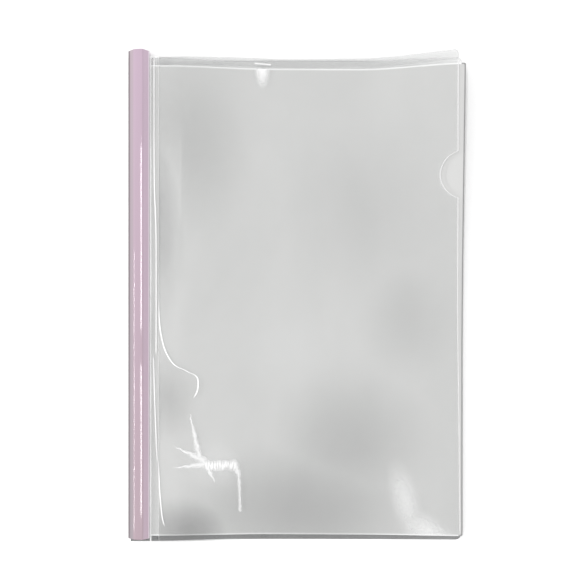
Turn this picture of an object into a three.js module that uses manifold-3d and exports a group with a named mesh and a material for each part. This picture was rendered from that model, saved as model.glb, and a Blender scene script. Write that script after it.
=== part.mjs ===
// A4 slide bar folder lying flat: a hollow plastic bar clips one folded clear film and one A4 sheet.
// Millimetres, +Z up. X runs from the bar to the free edge, Y runs along the bar, and the origin is the
// middle of the underside. Until the last section, x is measured from the back of the bar.
import * as THREE from 'three';
import { mergeVertices } from 'three/addons/utils/BufferGeometryUtils.js';
import Module from 'manifold-3d';

const wasm = await Module();
wasm.setup();

// Slide bar, slid a little past the top of the film
const barOverhang = 0.3;
const barShift = 2.6;
const barWidth = 13.6;
const barHeight = 9.8;
const barWall = 1.2;
const backFaceHeight = 2.6;
const noseHeight = 3.4;
const backSlopeWidth = 3.3;
const frontSlopeWidth = 4.9;
const crownRadius = 1.4;
const backRadius = 1.1;
const noseRadius = 0.7;

// A4 sheet, and the film cover around it: margins above and below the sheet, and how far each leaf ends
// short of the sheet's free edge
const sheetThickness = 0.12;
const sheetWidth = 210;
const sheetHeight = 297;
const filmThickness = 0.25;
const topMargin = 5.2;
const bottomMargin = 3.6;
const frontShort = 3;
const backShort = 1.2;
const filmCorner = 3.5;
const sheetCorner = 1;
const frontSkew = THREE.MathUtils.degToRad(0.3);
const sheetSkew = THREE.MathUtils.degToRad(-0.26);

// Clearances
const gripGap = 0.3;
const layerGap = 0.3;
const foldGap = 0.3;
const hingeGap = 0.3;

// Score line of the front cover, and its thumb notch
const scoreFromBar = 5.3;
const notchRadius = 15;
const notchDepth = 11.3;
const notchY = 77.5;

// How the sheets lie: run of the slope down from the bar, bulge beside it, and curl of the free edge
const backRun = 55;
const sheetRun = 72;
const frontRun = 80;
const sheetBulge = 0.6;
const frontBulge = 1.6;
const curlStart = 145;
const backCurl = 5.5;
const sheetCurl = 12;
const frontCurl = 15.5;
const bottomCurlShare = 0.2;
const rippleHeight = 0.8;
const rippleLength = 74;

// Facets
const columns = 22;
const rows = 24;
const foldSteps = 8;
const cornerSteps = 6;
const notchSteps = 24;

// Levels and places that follow from the sizes
const filmHeight = sheetHeight + topMargin + bottomMargin;
const sheetOffset = (bottomMargin - topMargin) / 2;
const barLength = filmHeight + 2 * barOverhang;
const layerPitch = (filmThickness + sheetThickness) / 2 + layerGap;
const sheetLevel = barHeight / 2;
const backLevel = sheetLevel - layerPitch;
const frontLevel = sheetLevel + layerPitch;
const mouthX = barWidth;
const scoreX = mouthX + scoreFromBar;
const foldRadius = layerPitch;
const foldX = barWall + gripGap + filmThickness / 2 + foldRadius;
const sheetStartX = foldX - foldRadius + filmThickness / 2 + foldGap;
const edgeX = sheetStartX + sheetWidth;
const frontEdgeX = edgeX - frontShort;
const backEdgeX = edgeX - backShort;

// Rises from 0 to 1 over the given span, level at both ends.
function ease(value, start, end) {
  return THREE.MathUtils.smoothstep(value, start, end);
}

// Share of the free edge's curl: nothing up to curlStart, all of it at the top right corner.
function curlShare(x, y) {
  const along = ease(x, curlStart, edgeX + filmCorner);
  const upward = ease(y, -0.15 * filmHeight, 0.75 * filmHeight);
  return along * THREE.MathUtils.lerp(bottomCurlShare, 1, upward);
}

// How far a curl draws the upper corner in: a smooth step's rise, squared, over its span, times 0.6.
function drawnIn(curl) {
  return (0.6 * curl ** 2) / (edgeX + filmCorner - curlStart);
}

// Height of the back leaf's middle surface.
function backHeight(x, y) {
  const fall = 1 - ease(x, mouthX, mouthX + backRun);
  return filmThickness / 2 + (backLevel - filmThickness / 2) * fall + backCurl * curlShare(x, y);
}

// Height above the back leaf of what lies on it: it comes down more slowly, bulges beside the bar and
// curls further.
function liftAboveBack(x, y, pitch, run, bulge, curl) {
  const slower = ease(x, mouthX, mouthX + backRun) - ease(x, mouthX, mouthX + run);
  const beside = THREE.MathUtils.clamp((x - mouthX) / run, 0, 1);
  const upward = THREE.MathUtils.lerp(0.55, 1, ease(y, -0.3 * filmHeight, 0.4 * filmHeight));
  const swell = bulge * upward * Math.sin(Math.PI * beside) * Math.min(1, 4 * beside);
  return pitch + backLevel * slower + swell + (curl - backCurl) * curlShare(x, y);
}

function sheetHeightAt(x, y) {
  return backHeight(x, y) + liftAboveBack(x, y, layerPitch, sheetRun, sheetBulge, sheetCurl);
}

// The front leaf also has a slow ripple, which only ever lifts it.
function frontHeight(x, y) {
  const ripple = 0.5 + 0.5 * Math.sin((2 * Math.PI * (x + 0.6 * y)) / rippleLength);
  const fade = ease(x, scoreX, scoreX + rippleLength);
  const lift = liftAboveBack(x, y, 2 * layerPitch, frontRun, frontBulge, frontCurl);
  return backHeight(x, y) + lift + rippleHeight * ripple * fade;
}

// Closed slab: place(column, row, side) gives a corner of the lower (side -0.5) or upper (0.5) face.
function slab(columnCount, rowCount, place) {
  const points = [];
  const faces = [];
  for (const side of [-0.5, 0.5]) {
    for (let row = 0; row <= rowCount; row++) {
      for (let column = 0; column <= columnCount; column++) {
        points.push(...place(column, row, side));
      }
    }
  }
  const layer = (columnCount + 1) * (rowCount + 1);
  const at = (column, row, top) => top * layer + row * (columnCount + 1) + column;
  const quad = (a, b, c, d) => faces.push(a, b, c, a, c, d);
  for (let row = 0; row < rowCount; row++) {
    for (let column = 0; column < columnCount; column++) {
      quad(at(column, row, 1), at(column + 1, row, 1), at(column + 1, row + 1, 1), at(column, row + 1, 1));
      quad(at(column, row, 0), at(column, row + 1, 0), at(column + 1, row + 1, 0), at(column + 1, row, 0));
    }
  }
  for (let column = 0; column < columnCount; column++) {
    quad(at(column, 0, 0), at(column + 1, 0, 0), at(column + 1, 0, 1), at(column, 0, 1));
    quad(at(column, rowCount, 1), at(column + 1, rowCount, 1), at(column + 1, rowCount, 0), at(column, rowCount, 0));
  }
  for (let row = 0; row < rowCount; row++) {
    quad(at(0, row, 1), at(0, row + 1, 1), at(0, row + 1, 0), at(0, row, 0));
    quad(at(columnCount, row, 0), at(columnCount, row + 1, 0), at(columnCount, row + 1, 1), at(columnCount, row, 1));
  }
  const geometry = new THREE.BufferGeometry();
  geometry.setAttribute('position', new THREE.Float32BufferAttribute(points, 3));
  geometry.setIndex(faces);
  return geometry;
}

function toSolid(geometry) {
  const bare = geometry.clone();
  bare.deleteAttribute('normal');
  bare.deleteAttribute('uv');
  const merged = mergeVertices(bare, 1e-5);
  return new wasm.Manifold(new wasm.Mesh({
    numProp: 3,
    vertProperties: new Float32Array(merged.attributes.position.array),
    triVerts: new Uint32Array(merged.index.array),
  }));
}

function toGeometry(solid) {
  const mesh = solid.getMesh();
  const geometry = new THREE.BufferGeometry();
  geometry.setAttribute('position', new THREE.BufferAttribute(mesh.vertProperties, 3));
  geometry.setIndex(new THREE.BufferAttribute(mesh.triVerts, 1));
  geometry.computeVertexNormals();
  return geometry;
}

// Upright prism over an outline in X and Y, tall enough to trim any sheet.
function trimPrism(outline) {
  const depth = 4 * (barHeight + frontCurl);
  const geometry = new THREE.ExtrudeGeometry(outline, { depth, bevelEnabled: false, curveSegments: cornerSteps });
  geometry.translate(0, 0, -depth / 2);
  return toSolid(geometry);
}

// Leaf outline: square at the bar, rounded at the two outer corners, the upper one drawn in by the curl.
function leafOutline(right, bottom, top, corner, curl) {
  const outline = new THREE.Shape();
  outline.moveTo(-barWidth, bottom);
  outline.lineTo(right - corner, bottom);
  outline.absarc(right - corner, bottom + corner, corner, -Math.PI / 2, 0, false);
  outline.absarc(right - corner - drawnIn(curl), top - corner, corner, 0, Math.PI / 2, false);
  outline.lineTo(-barWidth, top);
  outline.closePath();
  return outline;
}

// Trims a sheet to its outline, turned in its plane by a small angle about the bar's mouth.
function trim(sheet, outline, skew) {
  const prism = trimPrism(outline).rotate([0, 0, THREE.MathUtils.radToDeg(skew)]);
  return toSolid(sheet).intersect(prism);
}

// Height field sheet between two x values, longer than its outline at the top and bottom.
function heightSheet(startX, endX, thickness, heightAt) {
  const reach = filmHeight / 2 + filmCorner;
  return slab(columns, rows, (column, row, side) => {
    const x = THREE.MathUtils.lerp(startX, endX, column / columns);
    const y = THREE.MathUtils.lerp(-reach, reach, row / rows);
    return [x, y, heightAt(x, y) + side * thickness];
  });
}

// Corners given as [x, y, radius] joined into a closed outline with rounded corners.
function roundedOutline(corners) {
  const outline = new THREE.Shape();
  corners.forEach(([x, y, radius], index) => {
    const corner = new THREE.Vector2(x, y);
    const before = new THREE.Vector2(...corners.at(index - 1).slice(0, 2));
    const after = new THREE.Vector2(...corners[(index + 1) % corners.length].slice(0, 2));
    const entry = corner.clone().add(before.sub(corner).setLength(radius));
    const exit = corner.clone().add(after.sub(corner).setLength(radius));
    if (index === 0) {
      outline.moveTo(entry.x, entry.y);
    } else {
      outline.lineTo(entry.x, entry.y);
    }
    outline.quadraticCurveTo(corner.x, corner.y, exit.x, exit.y);
  });
  outline.closePath();
  return outline;
}

// Eight-sided section of the bar, shrunk inwards by inset.
function barSection(inset) {
  const middle = barHeight / 2;
  const crown = middle - inset;
  const backHalf = backFaceHeight / 2;
  const noseHalf = noseHeight / 2;
  const back = inset;
  const nose = barWidth - inset;
  const backTurn = backSlopeWidth + 0.4 * inset;
  const noseTurn = barWidth - frontSlopeWidth - 0.3 * inset;
  const round = crownRadius - 0.6 * inset;
  const heel = backRadius - 0.4 * inset;
  const tip = noseRadius - 0.3 * inset;
  return roundedOutline([
    [back, middle - backHalf, heel],
    [backTurn, middle - crown, round],
    [noseTurn, middle - crown, round],
    [nose, middle - noseHalf + 0.35 * inset, tip],
    [nose, middle + noseHalf - 0.35 * inset, tip],
    [noseTurn, middle + crown, round],
    [backTurn, middle + crown, round],
    [back, middle + backHalf, heel],
  ]);
}

// Solid along the bar from a section in X and Z.
function alongBar(section, length) {
  const geometry = new THREE.ExtrudeGeometry(section, { depth: length, bevelEnabled: false, curveSegments: cornerSteps });
  geometry.rotateX(Math.PI / 2);
  geometry.translate(0, length / 2, 0);
  return toSolid(geometry);
}

// Hollow bar, open at both ends and along its mouth, whose lips stop just short of the film.
function slideBar() {
  const mouthHeight = frontLevel - backLevel + filmThickness + 2 * gripGap;
  const mouthDepth = 3 * barWall;
  const slot = new THREE.BoxGeometry(mouthDepth, 2 * barLength, mouthHeight);
  slot.translate(mouthX + barWall - mouthDepth / 2, 0, sheetLevel);
  const shell = alongBar(barSection(0), barLength).subtract(alongBar(barSection(barWall), 2 * barLength));
  return toGeometry(shell.subtract(toSolid(slot)).translate([0, barShift, 0]));
}

// One film: the front leaf's clamped margin runs into the bar, turns over and comes out as the back leaf.
function foldedCover() {
  const stations = [];
  for (const x of [scoreX - hingeGap / 2, mouthX, foldX]) {
    stations.push({ x, level: frontLevel, up: new THREE.Vector2(0, 1) });
  }
  for (let step = 1; step < foldSteps; step++) {
    const angle = Math.PI / 2 + (Math.PI * step) / foldSteps;
    const outward = new THREE.Vector2(Math.cos(angle), Math.sin(angle));
    stations.push({ x: foldX + foldRadius * outward.x, level: sheetLevel + foldRadius * outward.y, up: outward });
  }
  stations.push({ x: foldX, level: backLevel, up: new THREE.Vector2(0, -1) });
  for (let column = 0; column <= columns; column++) {
    const x = THREE.MathUtils.lerp(mouthX, backEdgeX, column / columns);
    stations.push({ x, up: new THREE.Vector2(0, -1) });
  }
  const reach = filmHeight / 2 + filmCorner;
  const film = slab(stations.length - 1, rows, (column, row, side) => {
    const { x, level, up } = stations[column];
    const y = THREE.MathUtils.lerp(-reach, reach, row / rows);
    const z = level ?? backHeight(x, y);
    return [x - side * filmThickness * up.x, y, z - side * filmThickness * up.y];
  });
  const outline = leafOutline(backEdgeX, -filmHeight / 2, filmHeight / 2, filmCorner, backCurl);
  return toGeometry(trim(film, outline, 0));
}

// Front leaf from the score line to its free edge, with the thumb notch cut through it.
function frontCover() {
  const film = heightSheet(scoreX + hingeGap / 2, frontEdgeX + filmCorner, filmThickness, frontHeight);
  const outline = leafOutline(frontEdgeX, -filmHeight / 2, filmHeight / 2, filmCorner, frontCurl);
  const depth = 4 * (barHeight + frontCurl);
  const notch = new THREE.CylinderGeometry(notchRadius, notchRadius, depth, 2 * notchSteps);
  notch.rotateX(Math.PI / 2);
  const edgeAtNotch = frontEdgeX - drawnIn(frontCurl) * (notchY / filmHeight + 0.5);
  notch.translate(edgeAtNotch - notchDepth + notchRadius, notchY, 0);
  return toGeometry(trim(film, outline, frontSkew).subtract(toSolid(notch)));
}

// Plain sheet between the leaves, pushed up to the fold and lying slightly askew.
function a4Sheet() {
  const paper = heightSheet(sheetStartX, edgeX + filmCorner, sheetThickness, sheetHeightAt);
  const bottom = sheetOffset - sheetHeight / 2;
  const outline = leafOutline(edgeX, bottom, bottom + sheetHeight, sheetCorner, sheetCurl);
  return toGeometry(trim(paper, outline, sheetSkew));
}

const lilacPlastic = new THREE.MeshStandardMaterial({ color: 0xcdb4c6, roughness: 0.25, metalness: 0 });
const clearFilm = new THREE.MeshStandardMaterial({
  color: 0xe6e8e8, roughness: 0.12, metalness: 0, transparent: true, opacity: 0.35,
});
const whitePaper = new THREE.MeshStandardMaterial({ color: 0xe4e4e2, roughness: 0.85, metalness: 0 });

const pieces = [
  ['slide_bar', slideBar(), lilacPlastic],
  ['folded_cover', foldedCover(), clearFilm.clone()],
  ['front_cover', frontCover(), clearFilm],
  ['a4_sheet', a4Sheet(), whitePaper],
];

const folder = new THREE.Group();
for (const [name, geometry, material] of pieces) {
  const mesh = new THREE.Mesh(geometry, material);
  mesh.name = name;
  folder.add(mesh);
}

// The origin is the middle of the folder's outline, on the surface that it lies on.
const extent = new THREE.Box3().setFromObject(folder);
folder.position.set(-(extent.min.x + extent.max.x) / 2, -(extent.min.y + extent.max.y) / 2, 0);

export default folder;
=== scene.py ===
import math

import bpy
import numpy as np
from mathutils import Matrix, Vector


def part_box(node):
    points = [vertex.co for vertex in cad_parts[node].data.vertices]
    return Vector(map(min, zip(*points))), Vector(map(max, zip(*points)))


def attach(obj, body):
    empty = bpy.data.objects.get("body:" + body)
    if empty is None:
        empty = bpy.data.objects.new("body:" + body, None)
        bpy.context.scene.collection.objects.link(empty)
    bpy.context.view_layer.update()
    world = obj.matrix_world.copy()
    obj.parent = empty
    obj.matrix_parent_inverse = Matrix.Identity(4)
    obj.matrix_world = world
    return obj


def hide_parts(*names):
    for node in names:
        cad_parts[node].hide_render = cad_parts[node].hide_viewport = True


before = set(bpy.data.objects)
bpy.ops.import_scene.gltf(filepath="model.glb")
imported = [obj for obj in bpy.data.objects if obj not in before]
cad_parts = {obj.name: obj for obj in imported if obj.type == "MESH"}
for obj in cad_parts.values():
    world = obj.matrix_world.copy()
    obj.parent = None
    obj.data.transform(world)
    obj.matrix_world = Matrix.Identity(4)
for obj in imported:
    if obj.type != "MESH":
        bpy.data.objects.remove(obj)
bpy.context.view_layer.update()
print("frame loaded")

mm = 0.001
barLow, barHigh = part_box("slide_bar")
barShift = 2.6 * mm  # the bar is slid this far past the film
originX = barLow.x  # the back of the bar
originY = (barLow.y + barHigh.y) / 2 - barShift  # the middle of the film


def acrossAt(x):
    # place in the frame of x mm from the back of the bar
    return originX + x * mm


def upAt(y):
    # place in the frame of y mm above the middle of the film
    return originY + y * mm


# View straight down on the folder, as in the photo: 576 by 576 pixels, photoScale of desk to a pixel
view = {
    "photoWidth": 576,
    "photoScale": 0.6393 * mm,
    "distance": 400 * mm,
    "shiftUp": 0.10,
    "centreX": 100.7,  # the picture's middle, in mm from the back of the bar
    "centreY": 7.4,  # and in mm above the middle of the film
    "sensor": 36.0,
    "clipStart": 10 * mm,
}


def placeCamera():
    # the shift moves the picture up, so the camera stands lower by the same part of its width
    width = view["photoWidth"] * view["photoScale"]
    data = bpy.data.cameras.new("photoCamera")
    data.sensor_fit = "HORIZONTAL"
    data.sensor_width = view["sensor"]
    data.lens = view["sensor"] * view["distance"] / width
    data.shift_y = view["shiftUp"]
    data.clip_start = view["clipStart"]
    camera = bpy.data.objects.new("photoCamera", data)
    lower = view["shiftUp"] * width
    camera.location = (acrossAt(view["centreX"]), upAt(view["centreY"]) - lower, view["distance"])
    bpy.context.scene.collection.objects.link(camera)
    bpy.context.scene.camera = camera


placeCamera()
print("camera placed")


# Shape helpers: every surface is worked out as whole arrays.
def ease(value, start, end):
    # smooth step: 3t squared minus 2t cubed, level at both ends
    t = np.clip((value - start) / (end - start), 0, 1)
    return t * t * (3 - 2 * t)


def storeValue(piece, name, values):
    # one number for each point, for the materials to read
    piece.data.attributes.new(name, "FLOAT", "POINT").data.foreach_set("value", values.ravel())


def makeMesh(name, points, faces, smooth=None):
    mesh = bpy.data.meshes.new(name)
    mesh.from_pydata(points.tolist(), [], faces)
    mesh.update()
    flags = np.ones(len(mesh.polygons), bool) if smooth is None else smooth
    mesh.polygons.foreach_set("use_smooth", flags)
    piece = bpy.data.objects.new(name, mesh)
    bpy.context.scene.collection.objects.link(piece)
    return piece


def slabMesh(name, lower, upper, toEdge):
    # closed slab between two grids of points, rows by columns by xyz, with walls along its four sides;
    # toEdge holds how far each point lies from the nearest cut edge, in mm
    rows, columns = lower.shape[:2]
    points = np.concatenate([lower.reshape(-1, 3), upper.reshape(-1, 3)])
    index = np.arange(rows * columns).reshape(rows, columns)
    top = index + rows * columns

    def quads(a, b, c, d):
        return np.stack([a.ravel(), b.ravel(), c.ravel(), d.ravel()], axis=1)

    upFaces = quads(top[:-1, :-1], top[:-1, 1:], top[1:, 1:], top[1:, :-1])
    downFaces = quads(index[:-1, :-1], index[1:, :-1], index[1:, 1:], index[:-1, 1:])
    walls = np.concatenate([
        quads(index[0, :-1], index[0, 1:], top[0, 1:], top[0, :-1]),
        quads(top[-1, :-1], top[-1, 1:], index[-1, 1:], index[-1, :-1]),
        quads(top[:-1, 0], top[1:, 0], index[1:, 0], index[:-1, 0]),
        quads(index[:-1, -1], index[1:, -1], top[1:, -1], top[:-1, -1]),
    ])
    faces = np.concatenate([upFaces, downFaces, walls])
    smooth = np.arange(len(faces)) < len(upFaces) + len(downFaces)
    piece = makeMesh(name, points, faces.tolist(), smooth)
    storeValue(piece, "toEdge", np.concatenate([toEdge.ravel(), toEdge.ravel()]))
    return piece


# How the leaves lie, in mm from the back of the bar: the solids' sizes, but frontCurl is 0.2 less than theirs
lie = {
    "barHeight": 9.8,
    "mouthX": 13.6,
    "scoreX": 18.9,
    "scoreGap": 0.3,
    "film": 0.25,
    "sheet": 0.12,
    "pitch": 0.485,
    "filmHeight": 305.8,
    "edgeX": 212.05,
    "corner": 3.5,
    "backRun": 55,
    "sheetRun": 72,
    "frontRun": 80,
    "sheetBulge": 0.6,
    "frontBulge": 1.6,
    "bulgeBottomShare": 0.55,
    "bulgeRise": (-0.3, 0.4),  # the bulge grows between these shares of the film's height above its middle
    "curlStart": 145,
    "curlBottomShare": 0.2,
    "curlRise": (-0.15, 0.75),  # the same for the curl
    "backCurl": 5.5,
    "sheetCurl": 12,
    "frontCurl": 15.3,
    "drawShare": 0.6,
    "rippleHeight": 0.8,
    "rippleLength": 74,
    "rippleSlant": 0.6,
    "rows": 180,
    "cornerRows": 10,
    "columns": 150,
}
halfFilm = lie["filmHeight"] / 2
backLevel = lie["barHeight"] / 2 - lie["pitch"]
curlEnd = lie["edgeX"] + lie["corner"]


def upwardShare(y, bottomShare, rise):
    # bottomShare low on the film, eased up to 1 over the rise
    return bottomShare + (1 - bottomShare) * ease(y, rise[0] * lie["filmHeight"], rise[1] * lie["filmHeight"])


def curlShare(x, y):
    # nothing up to curlStart, all of it at the upper corner
    return ease(x, lie["curlStart"], curlEnd) * upwardShare(y, lie["curlBottomShare"], lie["curlRise"])


def backHeight(x, y):
    # middle of the back leaf: it comes down from the mouth of the bar to the desk and curls up at its edge
    fall = 1 - ease(x, lie["mouthX"], lie["mouthX"] + lie["backRun"])
    return lie["film"] / 2 + (backLevel - lie["film"] / 2) * fall + lie["backCurl"] * curlShare(x, y)


def liftAboveBack(x, y, pitch, run, bulge, curl):
    # its pitch in the mouth, and more where a leaf comes down later, bulges or curls further
    mouth = lie["mouthX"]
    later = ease(x, mouth, mouth + lie["backRun"]) - ease(x, mouth, mouth + run)
    beside = np.clip((x - mouth) / run, 0, 1)
    upward = upwardShare(y, lie["bulgeBottomShare"], lie["bulgeRise"])
    swell = bulge * upward * np.sin(np.pi * beside) * np.minimum(1, 4 * beside)
    return pitch + backLevel * later + swell + (curl - lie["backCurl"]) * curlShare(x, y)


def sheetHeightAt(x, y):
    lift = liftAboveBack(x, y, lie["pitch"], lie["sheetRun"], lie["sheetBulge"], lie["sheetCurl"])
    return backHeight(x, y) + lift


def frontHeight(x, y):
    # slanting ripples are added, which start at the score line
    ripple = 0.5 + 0.5 * np.sin(2 * np.pi * (x + lie["rippleSlant"] * y) / lie["rippleLength"])
    fade = ease(x, lie["scoreX"], lie["scoreX"] + lie["rippleLength"])
    lift = liftAboveBack(x, y, 2 * lie["pitch"], lie["frontRun"], lie["frontBulge"], lie["frontCurl"])
    return backHeight(x, y) + lift + lie["rippleHeight"] * ripple * fade


def toFrame(x, y, z):
    return np.stack([acrossAt(x), upAt(y), z * mm], axis=-1)


def rowPlaces(height, corner, extra=()):
    # rows from bottom to top, denser in the rounded corners and in each extra span
    rows = [np.linspace(-height / 2, height / 2, lie["rows"])]
    inCorner = height / 2 - corner * (1 - np.cos(np.linspace(0, np.pi / 2, lie["cornerRows"])))
    rows += [-inCorner, inCorner]
    rows += [np.linspace(low, high, steps) for low, high, steps in extra]
    return np.unique(np.round(np.concatenate(rows), 4))


def drawnIn(curl):
    # how far a curl draws the upper corner in
    return lie["drawShare"] * curl ** 2 / (curlEnd - lie["curlStart"])


def roundedEdge(q, right, height, corner, curl):
    # x of the free edge at height q: it leans in towards the curl and turns in at both ends
    past = np.clip(np.abs(q) - (height / 2 - corner), 0, corner)
    lean = drawnIn(curl) * np.clip((q + height / 2 - corner) / (height - 2 * corner), 0, 1)
    return right - lean - corner + np.sqrt(corner ** 2 - past ** 2)


def turnedGrid(left, edge, q, skew, offset=0.0):
    # p runs across from left to the free edge and q runs up, both turned by the skew
    cosine, sine = math.cos(skew), math.sin(skew)
    rise = q + offset
    start = (left + rise * sine) / cosine
    p = start[:, None] + (edge - start)[:, None] * np.linspace(0, 1, lie["columns"])
    rise = rise[:, None]
    return p, p * cosine - rise * sine, p * sine + rise * cosine


def edgeDistance(edge, p, q, height):
    # to the free edge or the nearer end, whichever is closer
    return np.minimum(edge[:, None] - p, height / 2 - np.abs(q[:, None]))


frontCover = {
    "right": 209.05,
    "skew": math.radians(0.3),
    "notchRadius": 15.0,
    "notchDepth": 11.3,
    "notchY": 77.5,
    "notchRows": 70,
}


def makeFrontCover():
    # the notch is a circle that pulls the free edge in; its middle is turned back by the skew
    c = frontCover
    cosine, sine, radius = math.cos(c["skew"]), math.sin(c["skew"]), c["notchRadius"]
    lean = drawnIn(lie["frontCurl"]) * (c["notchY"] / lie["filmHeight"] + 0.5)
    centreX, centreY = c["right"] - lean - c["notchDepth"] + radius, c["notchY"]
    centreP = centreX * cosine + centreY * sine
    centreQ = centreY * cosine - centreX * sine
    q = rowPlaces(lie["filmHeight"], lie["corner"], [(centreQ - radius, centreQ + radius, c["notchRows"])])
    edge = roundedEdge(q, c["right"], lie["filmHeight"], lie["corner"], lie["frontCurl"])
    inside = np.clip(radius ** 2 - (q - centreQ) ** 2, 0, None)
    edge = np.where(inside > 0, np.minimum(edge, centreP - np.sqrt(inside)), edge)
    p, x, y = turnedGrid(lie["scoreX"] + lie["scoreGap"] / 2, edge, q, c["skew"])
    z, half = frontHeight(x, y), lie["film"] / 2
    toEdge = edgeDistance(edge, p, q, lie["filmHeight"])
    return slabMesh("coverFilm", toFrame(x, y, z - half), toFrame(x, y, z + half), toEdge)


sheet = {
    "left": 2.045,
    "width": 210.0,
    "height": 297.0,
    "offset": -0.8,
    "corner": 1.0,
    "skew": math.radians(-0.26),
}


def makeSheet():
    c = sheet
    q = rowPlaces(c["height"], c["corner"])
    edge = roundedEdge(q, c["left"] + c["width"], c["height"], c["corner"], lie["sheetCurl"])
    p, x, y = turnedGrid(c["left"], edge, q, c["skew"], c["offset"])
    z, half = sheetHeightAt(x, y), lie["sheet"] / 2
    toEdge = edgeDistance(edge, p, q, c["height"])
    return slabMesh("plainSheet", toFrame(x, y, z - half), toFrame(x, y, z + half), toEdge)


foldedCover = {"right": 210.85, "foldX": 2.11, "marginSteps": 12, "foldSteps": 14}


def makeFoldedCover():
    # one film along a path: out of the score line, into the bar, round the fold and out as the back leaf
    c = foldedCover
    middle, pitch, columns = lie["barHeight"] / 2, lie["pitch"], lie["columns"]
    angle = np.linspace(np.pi / 2, 3 * np.pi / 2, c["foldSteps"])
    marginX = np.linspace(lie["scoreX"] - lie["scoreGap"] / 2, c["foldX"], c["marginSteps"])[:-1]
    pathX = np.concatenate([marginX, c["foldX"] + pitch * np.cos(angle)])
    pathZ = np.concatenate([np.full(len(marginX), middle + pitch), middle + pitch * np.sin(angle)])
    normalX = np.concatenate([np.zeros(len(marginX)), np.cos(angle)])
    normalZ = np.concatenate([np.ones(len(marginX)), np.sin(angle)])
    q = rowPlaces(lie["filmHeight"], lie["corner"])
    edge = roundedEdge(q, c["right"], lie["filmHeight"], lie["corner"], lie["backCurl"])
    leafX = lie["mouthX"] + (edge - lie["mouthX"])[:, None] * np.linspace(0, 1, columns)
    leafZ = backHeight(leafX, np.broadcast_to(q[:, None], leafX.shape))
    alongPath = (len(q), len(pathX))
    x = np.concatenate([np.broadcast_to(pathX, alongPath), leafX], axis=1)
    z = np.concatenate([np.broadcast_to(pathZ, alongPath), leafZ], axis=1)
    y = np.broadcast_to(q[:, None], x.shape)
    offX = np.concatenate([normalX, np.zeros(columns)]) * lie["film"] / 2
    offZ = np.concatenate([normalZ, -np.ones(columns)]) * lie["film"] / 2
    toEdge = edgeDistance(edge, x, q, lie["filmHeight"])
    return slabMesh("foldedFilm", toFrame(x + offX, y, z + offZ), toFrame(x - offX, y, z - offZ), toEdge)


# The solid's length, width, height and wall, with slopes and radii that follow the lines of light on it
bar = {
    "length": 306.4,
    "width": 13.6,
    "height": 9.8,
    "wall": 1.2,
    "backFace": 2.6,
    "nose": 3.4,
    "backSlope": 4.5,
    "frontSlope": 3.7,
    "crownTop": 9.3,
    "crownBend": 30,
    "crownBackRadius": 1.6,
    "crownCorners": [(6.7, 0.5), (7.9, 0.4), (9.0, 0.4)],  # x and radius
    "crownFrontRadius": 0.4,
    "lowerRadius": 1.2,
    "backRadius": 1.1,
    "noseRadius": 0.56,
    "innerRadius": 0.5,
    "slot": 1.82,
    "lipRadius": 0.25,
    "lipLength": 1.8,
    "endRadius": 0.15,
    "cornerSteps": 9,
    "endSteps": 4,
    "stations": 60,
}


def roundedPath(corners, steps, mostOfSide=0.46):
    # each corner x, z, radius becomes a quadratic curve that starts and ends radius away from it, or just
    # short of the middle of a short side
    corners = np.array(corners, float)
    place, radius = corners[:, :2], corners[:, 2:]
    toBefore = np.roll(place, 1, axis=0) - place
    toAfter = np.roll(place, -1, axis=0) - place
    before = np.linalg.norm(toBefore, axis=1, keepdims=True)
    after = np.linalg.norm(toAfter, axis=1, keepdims=True)
    entry = place + toBefore / before * np.minimum(radius, mostOfSide * before)
    leave = place + toAfter / after * np.minimum(radius, mostOfSide * after)
    t = np.linspace(0, 1, steps)[None, :, None]
    curve = (1 - t) ** 2 * entry[:, None] + 2 * t * (1 - t) * place[:, None] + t ** 2 * leave[:, None]
    return curve.reshape(-1, 2)


def crownHeight(x):
    # flat arc that is highest at crownTop
    return bar["height"] - (x - bar["crownTop"]) ** 2 / (2 * bar["crownBend"])


def barOutline():
    # eight-sided tube wall as one closed path: round the outside from lip to lip, then back round the inside
    c = bar
    middle, wall, half = c["height"] / 2, c["wall"], c["slot"] / 2
    nose, front = c["width"], c["width"] - c["frontSlope"]
    crown = [(c["backSlope"], c["crownBackRadius"]), *c["crownCorners"], (front, c["crownFrontRadius"])]
    outer = [
        [nose, middle - half, c["lipRadius"]],
        [nose, middle - c["nose"] / 2, c["noseRadius"]],
        [front, 0.0, c["lowerRadius"]],
        [c["backSlope"], 0.0, c["lowerRadius"]],
        [0.0, middle - c["backFace"] / 2, c["backRadius"]],
        [0.0, middle + c["backFace"] / 2, c["backRadius"]],
        *[[x, crownHeight(x), radius] for x, radius in crown],
        [nose, middle + c["nose"] / 2, c["noseRadius"]],
        [nose, middle + half, c["lipRadius"]],
    ]
    # the inner corners lie a little further in than the outer ones, so that the wall stays even
    innerFront, innerBack = front - 0.3 * wall, c["backSlope"] + 0.4 * wall
    heel, lip = c["backRadius"] - 0.4 * wall, nose - c["lipLength"]
    inner = [
        [lip, middle + half, c["lipRadius"]],
        [innerFront, c["height"] - wall, c["innerRadius"]],
        [innerBack, c["height"] - wall, c["innerRadius"]],
        [wall, middle + c["backFace"] / 2, heel],
        [wall, middle - c["backFace"] / 2, heel],
        [innerBack, wall, c["innerRadius"]],
        [innerFront, wall, c["innerRadius"]],
        [lip, middle - half, c["lipRadius"]],
    ]
    return roundedPath(outer + inner, c["cornerSteps"])


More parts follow.
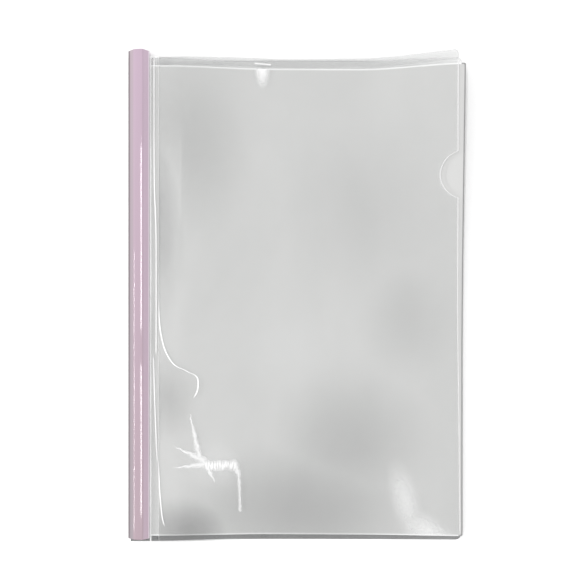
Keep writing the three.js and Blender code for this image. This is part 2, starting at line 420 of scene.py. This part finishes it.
def makeBar():
    # the outline carried along the bar; its last stations draw in to ease the two cut ends
    c = bar
    path, end = barOutline(), c["endRadius"]
    tangent = np.roll(path, -1, axis=0) - np.roll(path, 1, axis=0)
    tangent /= np.maximum(np.linalg.norm(tangent, axis=1, keepdims=True), 1e-9)
    inward = np.stack([tangent[:, 1], -tangent[:, 0]], axis=1)
    bend = np.linspace(0, np.pi / 2, c["endSteps"])
    endIn, endPlace = end * (1 - np.sin(bend)), end * (1 - np.cos(bend))
    body = np.linspace(end, c["length"] - end, c["stations"])[1:-1]
    place = np.concatenate([endPlace, body, c["length"] - endPlace[::-1]]) - c["length"] / 2 + barShift / mm
    draw = np.concatenate([endIn, np.zeros(len(body)), endIn[::-1]])
    section = path[None] + inward[None] * draw[:, None, None]
    y = np.broadcast_to(place[:, None], section.shape[:2])
    points = toFrame(section[..., 0], y, section[..., 1])
    stations, count = section.shape[:2]
    index = np.arange(stations * count).reshape(stations, count)
    beside = np.roll(index, -1, axis=1)
    walls = np.stack([index[:-1], beside[:-1], beside[1:], index[1:]], axis=-1).reshape(-1, 4)
    faces = walls.tolist() + [index[0][::-1].tolist(), index[-1].tolist()]
    smooth = np.arange(len(faces)) < len(walls)
    return makeMesh("clipBar", points.reshape(-1, 3), faces, smooth)


# Material helpers: tree is the node tree of a material or a group, and most of them give back a socket.
def newMaterial(name):
    material = bpy.data.materials.new(name)
    material.use_nodes = True
    tree = material.node_tree
    tree.nodes.clear()
    shader = tree.nodes.new("ShaderNodeBsdfPrincipled")
    output = tree.nodes.new("ShaderNodeOutputMaterial")
    tree.links.new(shader.outputs[0], output.inputs[0])
    return material, tree, shader


def newGroup(name, inputs, outputs):
    # inputs and outputs are pairs of a name and a kind
    tree = bpy.data.node_groups.new(name, "ShaderNodeTree")
    for direction, sockets in (("INPUT", inputs), ("OUTPUT", outputs)):
        for label, kind in sockets:
            tree.interface.new_socket(label, in_out=direction, socket_type="NodeSocket" + kind)
    return tree, tree.nodes.new("NodeGroupInput"), tree.nodes.new("NodeGroupOutput")


def feed(tree, socket, value):
    if isinstance(value, bpy.types.NodeSocket):
        tree.links.new(value, socket)
    elif value is not None:
        socket.default_value = value


def useGroup(tree, group, **values):
    node = tree.nodes.new("ShaderNodeGroup")
    node.node_tree = group
    for label, value in values.items():
        feed(tree, node.inputs[label], value)
    return node


def calc(tree, operation, first, second=None, third=None, clamp=False):
    node = tree.nodes.new("ShaderNodeMath")
    node.operation = operation
    node.use_clamp = clamp
    for socket, value in zip(node.inputs, (first, second, third)):
        feed(tree, socket, value)
    return node.outputs[0]


def times(tree, first, second):
    return calc(tree, "MULTIPLY", first, second)


def larger(tree, first, second):
    return calc(tree, "MAXIMUM", first, second)


def vectorCalc(tree, operation, first, second):
    node = tree.nodes.new("ShaderNodeVectorMath")
    node.operation = operation
    feed(tree, node.inputs[0], first)
    feed(tree, node.inputs["Scale" if operation == "SCALE" else 1], second)
    return node.outputs["Value" if operation in ("DOT_PRODUCT", "DISTANCE") else "Vector"]


def remap(tree, value, low, high, toLow, toHigh, smooth=False):
    node = tree.nodes.new("ShaderNodeMapRange")
    node.interpolation_type = "SMOOTHSTEP" if smooth else "LINEAR"
    for socket, given in zip(node.inputs, (value, low, high, toLow, toHigh)):
        feed(tree, socket, given)
    return node.outputs[0]


def blend(tree, share, first, second):
    # colour between first and second
    node = tree.nodes.new("ShaderNodeMix")
    node.data_type = "RGBA"
    feed(tree, node.inputs[0], share)
    feed(tree, node.inputs[6], first)
    feed(tree, node.inputs[7], second)
    return node.outputs[2]


def noise(tree, place, scale, detail=2.0, roughness=0.5, distortion=0.0, stretch=None):
    if stretch:
        mapping = tree.nodes.new("ShaderNodeMapping")
        feed(tree, mapping.inputs["Vector"], place)
        mapping.inputs["Scale"].default_value = stretch
        place = mapping.outputs[0]
    node = tree.nodes.new("ShaderNodeTexNoise")
    feed(tree, node.inputs["Vector"], place)
    feed(tree, node.inputs["Scale"], scale)
    feed(tree, node.inputs["Detail"], detail)
    feed(tree, node.inputs["Roughness"], roughness)
    feed(tree, node.inputs["Distortion"], distortion)
    return node.outputs["Fac"]


def objectPlace(tree):
    # Object coordinates, as a vector and as its three parts
    place = tree.nodes.new("ShaderNodeTexCoord").outputs["Object"]
    split = tree.nodes.new("ShaderNodeSeparateXYZ")
    tree.links.new(place, split.inputs[0])
    return place, *split.outputs[:3]


def pointValue(tree, name):
    node = tree.nodes.new("ShaderNodeAttribute")
    node.attribute_name = name
    return node.outputs["Fac"]


def addBump(tree, shader, height, strength, distance):
    bump = tree.nodes.new("ShaderNodeBump")
    bump.inputs["Strength"].default_value = strength
    bump.inputs["Distance"].default_value = distance
    tree.links.new(height, bump.inputs["Height"])
    tree.links.new(bump.outputs[0], shader.inputs["Normal"])


def makeStroke():
    # mask along the straight line from start to end: 1 on it, 0 past its width, which grows on the way
    tree, given, put = newGroup(
        "stroke",
        [("place", "Vector"), ("start", "Vector"), ("end", "Vector"), ("thin", "Float"), ("width", "Float")],
        [("mask", "Float")],
    )
    place, start, end, thin, width = given.outputs[:5]
    flat = vectorCalc(tree, "MULTIPLY", place, (1, 1, 0))
    along = vectorCalc(tree, "SUBTRACT", end, start)
    out = vectorCalc(tree, "SUBTRACT", flat, start)
    dot = vectorCalc(tree, "DOT_PRODUCT", out, along)
    length = vectorCalc(tree, "DOT_PRODUCT", along, along)
    share = calc(tree, "DIVIDE", dot, length, clamp=True)
    away = vectorCalc(tree, "DISTANCE", out, vectorCalc(tree, "SCALE", along, share))
    reach = remap(tree, share, 0.0, 1.0, thin, width)
    tree.links.new(remap(tree, away, 0.0, reach, 1.0, 0.0, True), put.inputs["mask"])
    return tree


filmWear = {
    "haze": {"scale": 16, "detail": 3, "roughness": 0.6, "distortion": 0.6, "stretch": (1, 0.45, 1)},
    "scratches": {"scale": 900, "detail": 2, "roughness": 0.7, "stretch": (1, 0.06, 1)},
    "scratchRange": (0.66, 0.78),
    "wideWaves": {"scale": 22, "detail": 1, "roughness": 0.4, "distortion": 0.8, "stretch": (1, 0.4, 1)},
    "smallWaves": {"scale": 70, "detail": 1, "roughness": 0.5, "distortion": 1.2, "stretch": (1, 0.7, 1)},
    "smallWaveShare": 0.12,
}


def makeFilmWear():
    # cloudy haze and fine scratches of a clear film, and the height of its slow waves
    c = filmWear
    tree, given, put = newGroup(
        "filmWear", [("place", "Vector")], [("haze", "Float"), ("scratches", "Float"), ("waves", "Float")]
    )
    place = given.outputs["place"]
    tree.links.new(noise(tree, place, **c["haze"]), put.inputs["haze"])
    scratches = remap(tree, noise(tree, place, **c["scratches"]), *c["scratchRange"], 0.0, 1.0)
    tree.links.new(scratches, put.inputs["scratches"])
    wide, small = noise(tree, place, **c["wideWaves"]), noise(tree, place, **c["smallWaves"])
    tree.links.new(calc(tree, "MULTIPLY_ADD", small, c["smallWaveShare"], wide), put.inputs["waves"])
    return tree


strokeGroup = makeStroke()
filmWearGroup = makeFilmWear()


# Masks are placed in mm from the back of the bar and from the middle of the film.
def strokeMask(tree, place, line, width, thin=None):
    # straight stroke between two places, as wide at its start as thin says
    start, end = [(acrossAt(x), upAt(y), 0) for x, y in line]
    thin = (width if thin is None else thin) * mm
    stroke = useGroup(tree, strokeGroup, place=place, start=start, end=end, thin=thin, width=width * mm)
    return stroke.outputs["mask"]


def curvedMask(tree, across, upward, line, width, fade=2 * mm):
    # smooth line through places given from the top down, that fades out towards both its ends
    places = np.array(line[::-1], float)
    low, high = places.min(axis=0), places.max(axis=0)
    shares = ((places - low) / np.maximum(high - low, 0.001))[:, ::-1]
    curve = tree.nodes.new("ShaderNodeFloatCurve")
    points = curve.mapping.curves[0].points
    points[0].location, points[1].location = shares[0], shares[-1]
    for place in shares[1:-1]:
        points.new(*place)
    curve.mapping.update()
    bottom, top = upAt(low[1]), upAt(high[1])
    tree.links.new(remap(tree, upward, bottom, top, 0.0, 1.0), curve.inputs["Value"])
    middle = remap(tree, curve.outputs[0], 0.0, 1.0, acrossAt(low[0]), acrossAt(high[0]))
    away = calc(tree, "ABSOLUTE", calc(tree, "SUBTRACT", across, middle))
    fromTop = remap(tree, upward, top, top - fade, 0.0, 1.0)
    fromBottom = remap(tree, upward, bottom, bottom + fade, 0.0, 1.0)
    reach = times(tree, calc(tree, "MINIMUM", fromTop, fromBottom), width * mm)
    return remap(tree, away, 0.0, reach, 1.0, 0.0, True)


def cloudMask(tree, place, cloud):
    # soft oval patch: its middle and half sizes in mm, its turn in degrees and its strength in the middle
    x, y, wide, tall, turn, strength = cloud
    mapping = tree.nodes.new("ShaderNodeMapping")
    mapping.vector_type = "TEXTURE"
    tree.links.new(place, mapping.inputs["Vector"])
    mapping.inputs["Location"].default_value = (acrossAt(x), upAt(y), 0)
    mapping.inputs["Rotation"].default_value = (0, 0, math.radians(turn))
    mapping.inputs["Scale"].default_value = (wide * mm, tall * mm, 1)
    ball = tree.nodes.new("ShaderNodeTexGradient")
    ball.gradient_type = "SPHERICAL"
    tree.links.new(mapping.outputs[0], ball.inputs[0])
    return remap(tree, ball.outputs["Fac"], 0.0, 1.0, 0.0, strength, True)


plastic = {
    "topColour": (0.43, 0.325, 0.405, 1),
    "bottomColour": (0.36, 0.275, 0.31, 1),
    "colourReach": 150,  # half the height over which the colour changes
    # painted shade: the back slope is darker than the crown
    "backShadeTopColour": (0.36, 0.29, 0.33, 1),
    "backShadeBottomColour": (0.27, 0.235, 0.255, 1),
    "backSpan": (3, 5),
    # strips along the bar: from and to, the share of colour at each, and the colour
    "strips": [
        # painted light: lighter from the crown's front corner over the front slope
        (9.8, 10.8, 0.0, 0.6, (0.54, 0.42, 0.51, 1)),
        # painted shade along the back edge
        (0.9, 2.0, 1.0, 0.0, (0.13, 0.11, 0.12, 1)),
        # painted highlight along the lip
        (12.9, 13.4, 0.0, 1.0, (0.72, 0.68, 0.72, 1)),
    ],
    "cloud": {"scale": 60, "stretch": (1, 0.2, 1)},
    "cloudColour": (0.32, 0.25, 0.30, 1),
    "cloudShare": 0.12,
    "lines": {"scale": 1500, "roughness": 0.6, "stretch": (1, 0.012, 1)},
    "roughness": (0.04, 0.09),
    "bump": (0.08, 0.03 * mm),
}


def lilacPlastic():
    # lilac, greyer towards the lower end, with painted shade on the back slope and along the back edge,
    # painted light on the front slope and the lip, and fine lines drawn by the die
    c = plastic
    material, tree, shader = newMaterial("lilacPlastic")
    place, across, up, _ = objectPlace(tree)
    upward = remap(tree, up, -c["colourReach"] * mm, c["colourReach"] * mm, 0.0, 1.0)
    colour = blend(tree, upward, c["bottomColour"], c["topColour"])
    # painted shade on the back slope
    backShadeColour = blend(tree, upward, c["backShadeBottomColour"], c["backShadeTopColour"])
    back = remap(tree, across, *[acrossAt(x) for x in c["backSpan"]], 1.0, 0.0, True)
    colour = blend(tree, back, colour, backShadeColour)
    # painted light and shade in strips along the bar
    for start, end, startShare, endShare, stripColour in c["strips"]:
        strip = remap(tree, across, acrossAt(start), acrossAt(end), startShare, endShare, True)
        colour = blend(tree, strip, colour, stripColour)
    cloud = remap(tree, noise(tree, place, **c["cloud"]), 0.3, 0.7, 0.0, c["cloudShare"])
    colour = blend(tree, cloud, colour, c["cloudColour"])
    tree.links.new(colour, shader.inputs["Base Color"])
    lines = noise(tree, place, **c["lines"])
    tree.links.new(remap(tree, lines, 0.3, 0.7, *c["roughness"]), shader.inputs["Roughness"])
    addBump(tree, shader, lines, *c["bump"])
    return material


film = {
    "colour": (0.56, 0.57, 0.565, 1),
    # the painted highlights, reflections and glare take this colour, and painted shade the next
    "highlightColour": (0.97, 0.97, 0.97, 1),
    "shadeColour": (0.06, 0.06, 0.062, 1),
    # painted highlight along the cut edges: its width, its strength, and where it starts
    "edgeWidth": 0.9,
    "edgeAlpha": 0.7,
    "edgeFrom": (4, 7),  # above the film's lower edge, which isn't white
    "hazeRange": (0.8, 1.2),
    "mostAlpha": 0.97,
    "scratchAlpha": 0.04,
    "roughness": 0.16,
    "scratchRoughness": 0.2,
    "specular": 0.35,
    "waveDepth": 0.9 * mm,
}


def finishFilm(tree, shader, place, alpha, bright, dark):
    # see-through and hazy in clouds; bright carries the painted highlights, reflections and glare, dark the
    # painted shade
    c = film
    wear = useGroup(tree, filmWearGroup, place=place)
    scratches = wear.outputs["scratches"]
    haze = remap(tree, wear.outputs["haze"], 0.3, 0.7, *[alpha * share for share in c["hazeRange"]])
    haze = calc(tree, "MULTIPLY_ADD", scratches, c["scratchAlpha"], haze)
    grey = calc(tree, "ADD", dark, haze)
    whole = calc(tree, "ADD", bright, grey)
    colour = blend(tree, calc(tree, "DIVIDE", dark, grey), c["colour"], c["shadeColour"])
    colour = blend(tree, calc(tree, "DIVIDE", bright, whole), colour, c["highlightColour"])
    tree.links.new(colour, shader.inputs["Base Color"])
    shader.inputs["Specular IOR Level"].default_value = c["specular"]
    tree.links.new(calc(tree, "MINIMUM", whole, c["mostAlpha"]), shader.inputs["Alpha"])
    rough = calc(tree, "MULTIPLY_ADD", scratches, c["scratchRoughness"], c["roughness"])
    tree.links.new(rough, shader.inputs["Roughness"])
    addBump(tree, shader, wear.outputs["waves"], 1.0, c["waveDepth"])


def cutEdgeHighlight(tree, upward):
    # painted highlight along the cut edges, apart from the lower one
    edge = remap(tree, pointValue(tree, "toEdge"), 0.0, film["edgeWidth"], film["edgeAlpha"], 0.0, True)
    above = remap(tree, upward, *[upAt(y - halfFilm) for y in film["edgeFrom"]], 0.0, 1.0)
    return times(tree, edge, above)


frontMarks = {
    "alpha": 0.13,
    # painted reflection lines: width, then places from the top down
    "reflectionLines": [
        (0.8, [(17.6, 45), (18.9, -4), (20.9, -24), (27.1, -39.4), (37.7, -46.1), (44, -52), (40.9, -62.5)]),
        (0.7, [(18.8, -100), (21, -134.6), (23.1, -143.4)]),
    ],
    "reflectionLineShare": 0.7,
    # painted reflection scribble: straight spikes with their width at the start and the end, and a toothed
    # core
    "reflectionSpikes": [
        ([(38.9, -73), (44.6, -99)], 0.4, 3),
        ([(29.5, -93), (46, -101.5)], 0.4, 3.2),
        ([(29.5, -106.6), (47, -104.4)], 0.4, 3),
        ([(54.4, -115.4), (47, -101.5)], 0.5, 3.4),
        ([(66.5, -103.5), (69.6, -111)], 3, 2),
        ([(69.6, -110), (70.3, -134)], 1.3, 1.7),
    ],
    "reflectionCore": [(49, -105.2), (67, -105.4)],
    "coreWidth": 5.2,
    "teeth": {"scale": 1100, "detail": 1, "stretch": (1, 0.18, 1)},
    "teethRange": (0.38, 0.6, 0.7, 1.9),
    "reflectionScribbleShare": 0.36,
    "jag": {"scale": 420, "detail": 1},
    "jitter": 2.2 * mm,
    # glint at the top: a patch that ends at the sheet's upper edge and a line above it
    "glint": (84.6, 147, 6, 16, 0, 0.55),
    "glintTop": (146.2, 146.6),
    "glintLine": [(80, 149.6), (89.5, 149.2)],
    "glintLineWidth": 0.9,
    "glintLineShare": 0.6,
    # patches: middle, half sizes, turn and strength
    "glare": [(175, -127, 32, 12, -76, 0.25), (188, -146, 26, 13, -32, 0.28)],
    "glareBottom": (-149.8, -149.3),
    # speckle that breaks up the painted glare
    "glareSpeckle": {"scale": 1300, "detail": 1},
    "glareSpeckleRange": (0.7, 1.3),
    # pale patches of painted light; the grey patches below are painted shade
    "paintedLightPatches": [(56, -105, 26, 22, 0, 0.12), (105, -32, 48, 32, 0, 0.05)],
    "paintedShadePatches": [
        (38, -147, 36, 27, 0, 0.17),
        (108, -134, 92, 52, 0, 0.1),
        (142, -92, 64, 56, 0, 0.07),
        (22, 50, 16, 75, 0, 0.12),
        (24, -64, 22, 34, 0, 0.075),
        (38, 100, 48, 75, 0, 0.055),
        (150, 55, 75, 70, 0, 0.03),
        (175, -10, 34, 50, 0, 0.04),
    ],
    # painted highlight along the score line: its width and strength
    "scoreWidth": 0.8,
    "scoreAlpha": 0.3,
    # painted shade above the sheet, stronger near the bar: it starts between these heights, and fades across
    # between these places
    "paintedShadeTop": (147.2, 147.8),
    "paintedShadeAcross": (30, 110),
    "paintedShadeShares": (0.12, 0.075),
}


def raggedPlace(tree, place):
    # shaken a little by noise, which gives the strokes that read it ragged edges
    jag = calc(tree, "SUBTRACT", noise(tree, place, **frontMarks["jag"]), 0.5)
    offset = tree.nodes.new("ShaderNodeCombineXYZ")
    for socket in offset.inputs[:2]:
        feed(tree, socket, times(tree, jag, frontMarks["jitter"]))
    return vectorCalc(tree, "ADD", place, offset.outputs[0])


def reflectionScribbleMask(tree, place):
    # painted reflection: ragged spikes round a core whose strength goes up and down in teeth
    marks, ragged = frontMarks, raggedPlace(tree, place)
    spikes = 0
    for line, thin, width in marks["reflectionSpikes"]:
        spikes = larger(tree, spikes, strokeMask(tree, ragged, line, width, thin))
    teeth = remap(tree, noise(tree, place, **marks["teeth"]), *marks["teethRange"])
    core = calc(tree, "SUBTRACT", strokeMask(tree, ragged, marks["reflectionCore"], marks["coreWidth"]), 0.2)
    return times(tree, larger(tree, spikes, times(tree, core, teeth)), marks["reflectionScribbleShare"])


def glintMask(tree, place, upward):
    marks = frontMarks
    under = remap(tree, upward, *[upAt(y) for y in marks["glintTop"]], 1.0, 0.0)
    line = strokeMask(tree, place, marks["glintLine"], marks["glintLineWidth"])
    patch = times(tree, cloudMask(tree, place, marks["glint"]), under)
    return larger(tree, patch, times(tree, line, marks["glintLineShare"]))


def frontFilm():
    # the front leaf: painted reflection lines and a painted reflection scribble, glints and glare, a painted
    # highlight along the score line and the cut edges, and soft patches of painted light and shade
    marks = frontMarks
    material, tree, shader = newMaterial("coverFilm")
    place, across, upward, _ = objectPlace(tree)
    bright = 0
    # painted reflection lines, then the painted reflection scribble
    for width, line in marks["reflectionLines"]:
        bright = larger(tree, bright, curvedMask(tree, across, upward, line, width))
    bright = larger(tree, times(tree, bright, marks["reflectionLineShare"]), reflectionScribbleMask(tree, place))
    bright = larger(tree, bright, glintMask(tree, place, upward))
    # speckle for the painted glare
    glareSpeckle = remap(tree, noise(tree, place, **marks["glareSpeckle"]), 0.3, 0.7, *marks["glareSpeckleRange"])
    above = remap(tree, upward, *[upAt(y) for y in marks["glareBottom"]], 0.0, 1.0)
    glareSpeckle = times(tree, glareSpeckle, above)
    for cloud in marks["glare"]:
        bright = larger(tree, bright, times(tree, cloudMask(tree, place, cloud), glareSpeckle))
    # pale patches of painted light
    for cloud in marks["paintedLightPatches"]:
        bright = calc(tree, "ADD", bright, cloudMask(tree, place, cloud))
    # painted highlight along the real score line
    start, end = acrossAt(lie["scoreX"]), acrossAt(lie["scoreX"] + marks["scoreWidth"])
    score = remap(tree, across, start, end, marks["scoreAlpha"], 0.0, True)
    bright = larger(tree, larger(tree, bright, score), cutEdgeHighlight(tree, upward))
    # painted shade above the sheet, and grey patches of painted shade
    share = remap(tree, across, *[acrossAt(x) for x in marks["paintedShadeAcross"]], *marks["paintedShadeShares"])
    dark = remap(tree, upward, *[upAt(y) for y in marks["paintedShadeTop"]], 0.0, share)
    for cloud in marks["paintedShadePatches"]:
        dark = larger(tree, dark, cloudMask(tree, place, cloud))
    finishFilm(tree, shader, place, marks["alpha"], bright, dark)
    return material


marginMarks = {
    "alpha": 0.1,
    "besideBar": (14.1, 0.7),  # middle and width of a painted highlight line along the bar
    "reflectionLines": [
        [(16.2, 152), (16.3, 80), (17.6, 30), (17.5, -35)],
        [(15.8, -36), (17.2, -80), (18.4, -103)],
    ],
    "reflectionLineWidth": 0.65,
    "reflectionLineShare": 0.6,
    "upperSide": (4.9, 5.0),  # heights that part the clamped margin from the back leaf
    "marginShadow": (5.6, 5.9),  # painted shadow, above the film's lower edge
}


def marginFilm():
    # painted highlight and reflection lines on the clamped margin, and a painted shadow along the back leaf's
    # lower margin
    marks = marginMarks
    material, tree, shader = newMaterial("foldedFilm")
    place, across, upward, height = objectPlace(tree)
    # a painted highlight line along the bar and painted reflection lines on the margin
    x, width = marks["besideBar"]
    away = calc(tree, "ABSOLUTE", calc(tree, "SUBTRACT", across, acrossAt(x)))
    bright = remap(tree, away, 0.0, width * mm, 1.0, 0.0, True)
    for line in marks["reflectionLines"]:
        bright = larger(tree, bright, curvedMask(tree, across, upward, line, marks["reflectionLineWidth"]))
    upperSide = remap(tree, height, *[z * mm for z in marks["upperSide"]], 0.0, 1.0)
    bright = times(tree, times(tree, bright, marks["reflectionLineShare"]), upperSide)
    bright = larger(tree, bright, cutEdgeHighlight(tree, upward))
    # painted shadow along the back leaf's lower margin
    marginShadowMask = remap(tree, upward, *[upAt(y - halfFilm) for y in marks["marginShadow"]], 1.0, 0.0)
    dark = times(tree, marginShadowMask, calc(tree, "SUBTRACT", 1.0, upperSide))
    finishFilm(tree, shader, place, marks["alpha"], bright, dark)
    return material


paperLook = {
    "colour": (0.53, 0.53, 0.525, 1),
    "cloud": {"scale": 90, "detail": 3, "roughness": 0.6},
    "cloudColour": (0.47, 0.47, 0.46, 1),
    "cloudShare": 0.05,
    # painted highlight along the cut edge
    "highlightColour": (0.98, 0.98, 0.98, 1),
    "edgeWidth": 1.3,
    # painted shadow along the right side
    "edgeShadowColour": (0.3, 0.3, 0.3, 1),
    "edgeShadowWidth": 1.1,
    "edgeShadowAcross": (208.5, 209),
    "fibres": {"scale": 2200, "detail": 3, "roughness": 0.6},
    "roughness": (0.8, 0.92),
    "bump": (0.15, 0.02 * mm),
}


def paper():
    # fine fibres, a painted highlight along the cut edge at the top and bottom and a painted shadow along the
    # right side
    c = paperLook
    material, tree, shader = newMaterial("plainPaper")
    place, across, _, _ = objectPlace(tree)
    toEdge = pointValue(tree, "toEdge")
    cloud = remap(tree, noise(tree, place, **c["cloud"]), 0.3, 0.7, 0.0, c["cloudShare"])
    colour = blend(tree, cloud, c["colour"], c["cloudColour"])
    # painted highlight along the cut edge
    edge = remap(tree, toEdge, 0.0, c["edgeWidth"], 1.0, 0.0, True)
    colour = blend(tree, edge, colour, c["highlightColour"])
    # painted shadow along the right side
    edgeShadow = remap(tree, toEdge, c["edgeShadowWidth"] / 2, c["edgeShadowWidth"], 1.0, 0.0, True)
    side = remap(tree, across, *[acrossAt(x) for x in c["edgeShadowAcross"]], 0.0, 1.0)
    colour = blend(tree, times(tree, edgeShadow, side), colour, c["edgeShadowColour"])
    tree.links.new(colour, shader.inputs["Base Color"])
    fibres = noise(tree, place, **c["fibres"])
    tree.links.new(remap(tree, fibres, 0.3, 0.7, *c["roughness"]), shader.inputs["Roughness"])
    addBump(tree, shader, fibres, *c["bump"])
    return material


def dress(piece, node, body, material):
    piece.data.materials.append(material)
    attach(piece, body)
    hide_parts(node)


dress(makeBar(), "slide_bar", "bar", lilacPlastic())
dress(makeFrontCover(), "front_cover", "cover", frontFilm())
dress(makeFoldedCover(), "folded_cover", "sheets", marginFilm())
dress(makeSheet(), "a4_sheet", "sheets", paper())
print("pieces made")

studio = {
    "floorSize": 6.0,
    "floorDrop": 0.2 * mm,
    "floorColour": (0.89, 0.89, 0.89, 1),
    "worldStrength": 1.04,
    # panels of light: place, what they face, size and how bright the face is
    "panels": {
        "upperStrip": ((-0.385, 0.245, 1.2), (-0.385, 0.245, 0), (0.09, 0.47), 17),
        "lowerStrip": ((-0.385, -0.27, 1.2), (-0.385, -0.27, 0), (0.09, 0.38), 17),
        "sideStrip": ((-1.5, -0.18, 0.9), (-0.1, -0.18, 0), (0.9, 0.11), 33),
    },
}


def makeStudio():
    half, low = studio["floorSize"] / 2, -studio["floorDrop"]
    corners = np.array([[-half, -half, low], [half, -half, low], [half, half, low], [-half, half, low]])
    floor = makeMesh("floor", corners, [[0, 1, 2, 3]])
    material, tree, shader = newMaterial("paleFloor")
    shader.inputs["Base Color"].default_value = studio["floorColour"]
    shader.inputs["Roughness"].default_value = 1.0
    floor.data.materials.append(material)
    world = bpy.data.worlds.new("studio")
    world.use_nodes = True
    background = world.node_tree.nodes["Background"]
    background.inputs["Color"].default_value = (1, 1, 1, 1)
    background.inputs["Strength"].default_value = studio["worldStrength"]
    bpy.context.scene.world = world
    bpy.context.scene.view_settings.view_transform = "Standard"


def addPanel(name, place, aim, size, glow):
    # its power is worked out from how bright its face is
    data = bpy.data.lights.new(name, "AREA")
    data.shape = "RECTANGLE"
    data.size, data.size_y = size
    data.energy = glow * math.pi * size[0] * size[1]
    light = bpy.data.objects.new(name, data)
    light.location = place
    light.rotation_euler = (Vector(aim) - Vector(place)).to_track_quat("-Z", "Y").to_euler()
    bpy.context.scene.collection.objects.link(light)


makeStudio()
for name, panel in studio["panels"].items():
    addPanel(name, *panel)
print("studio set")
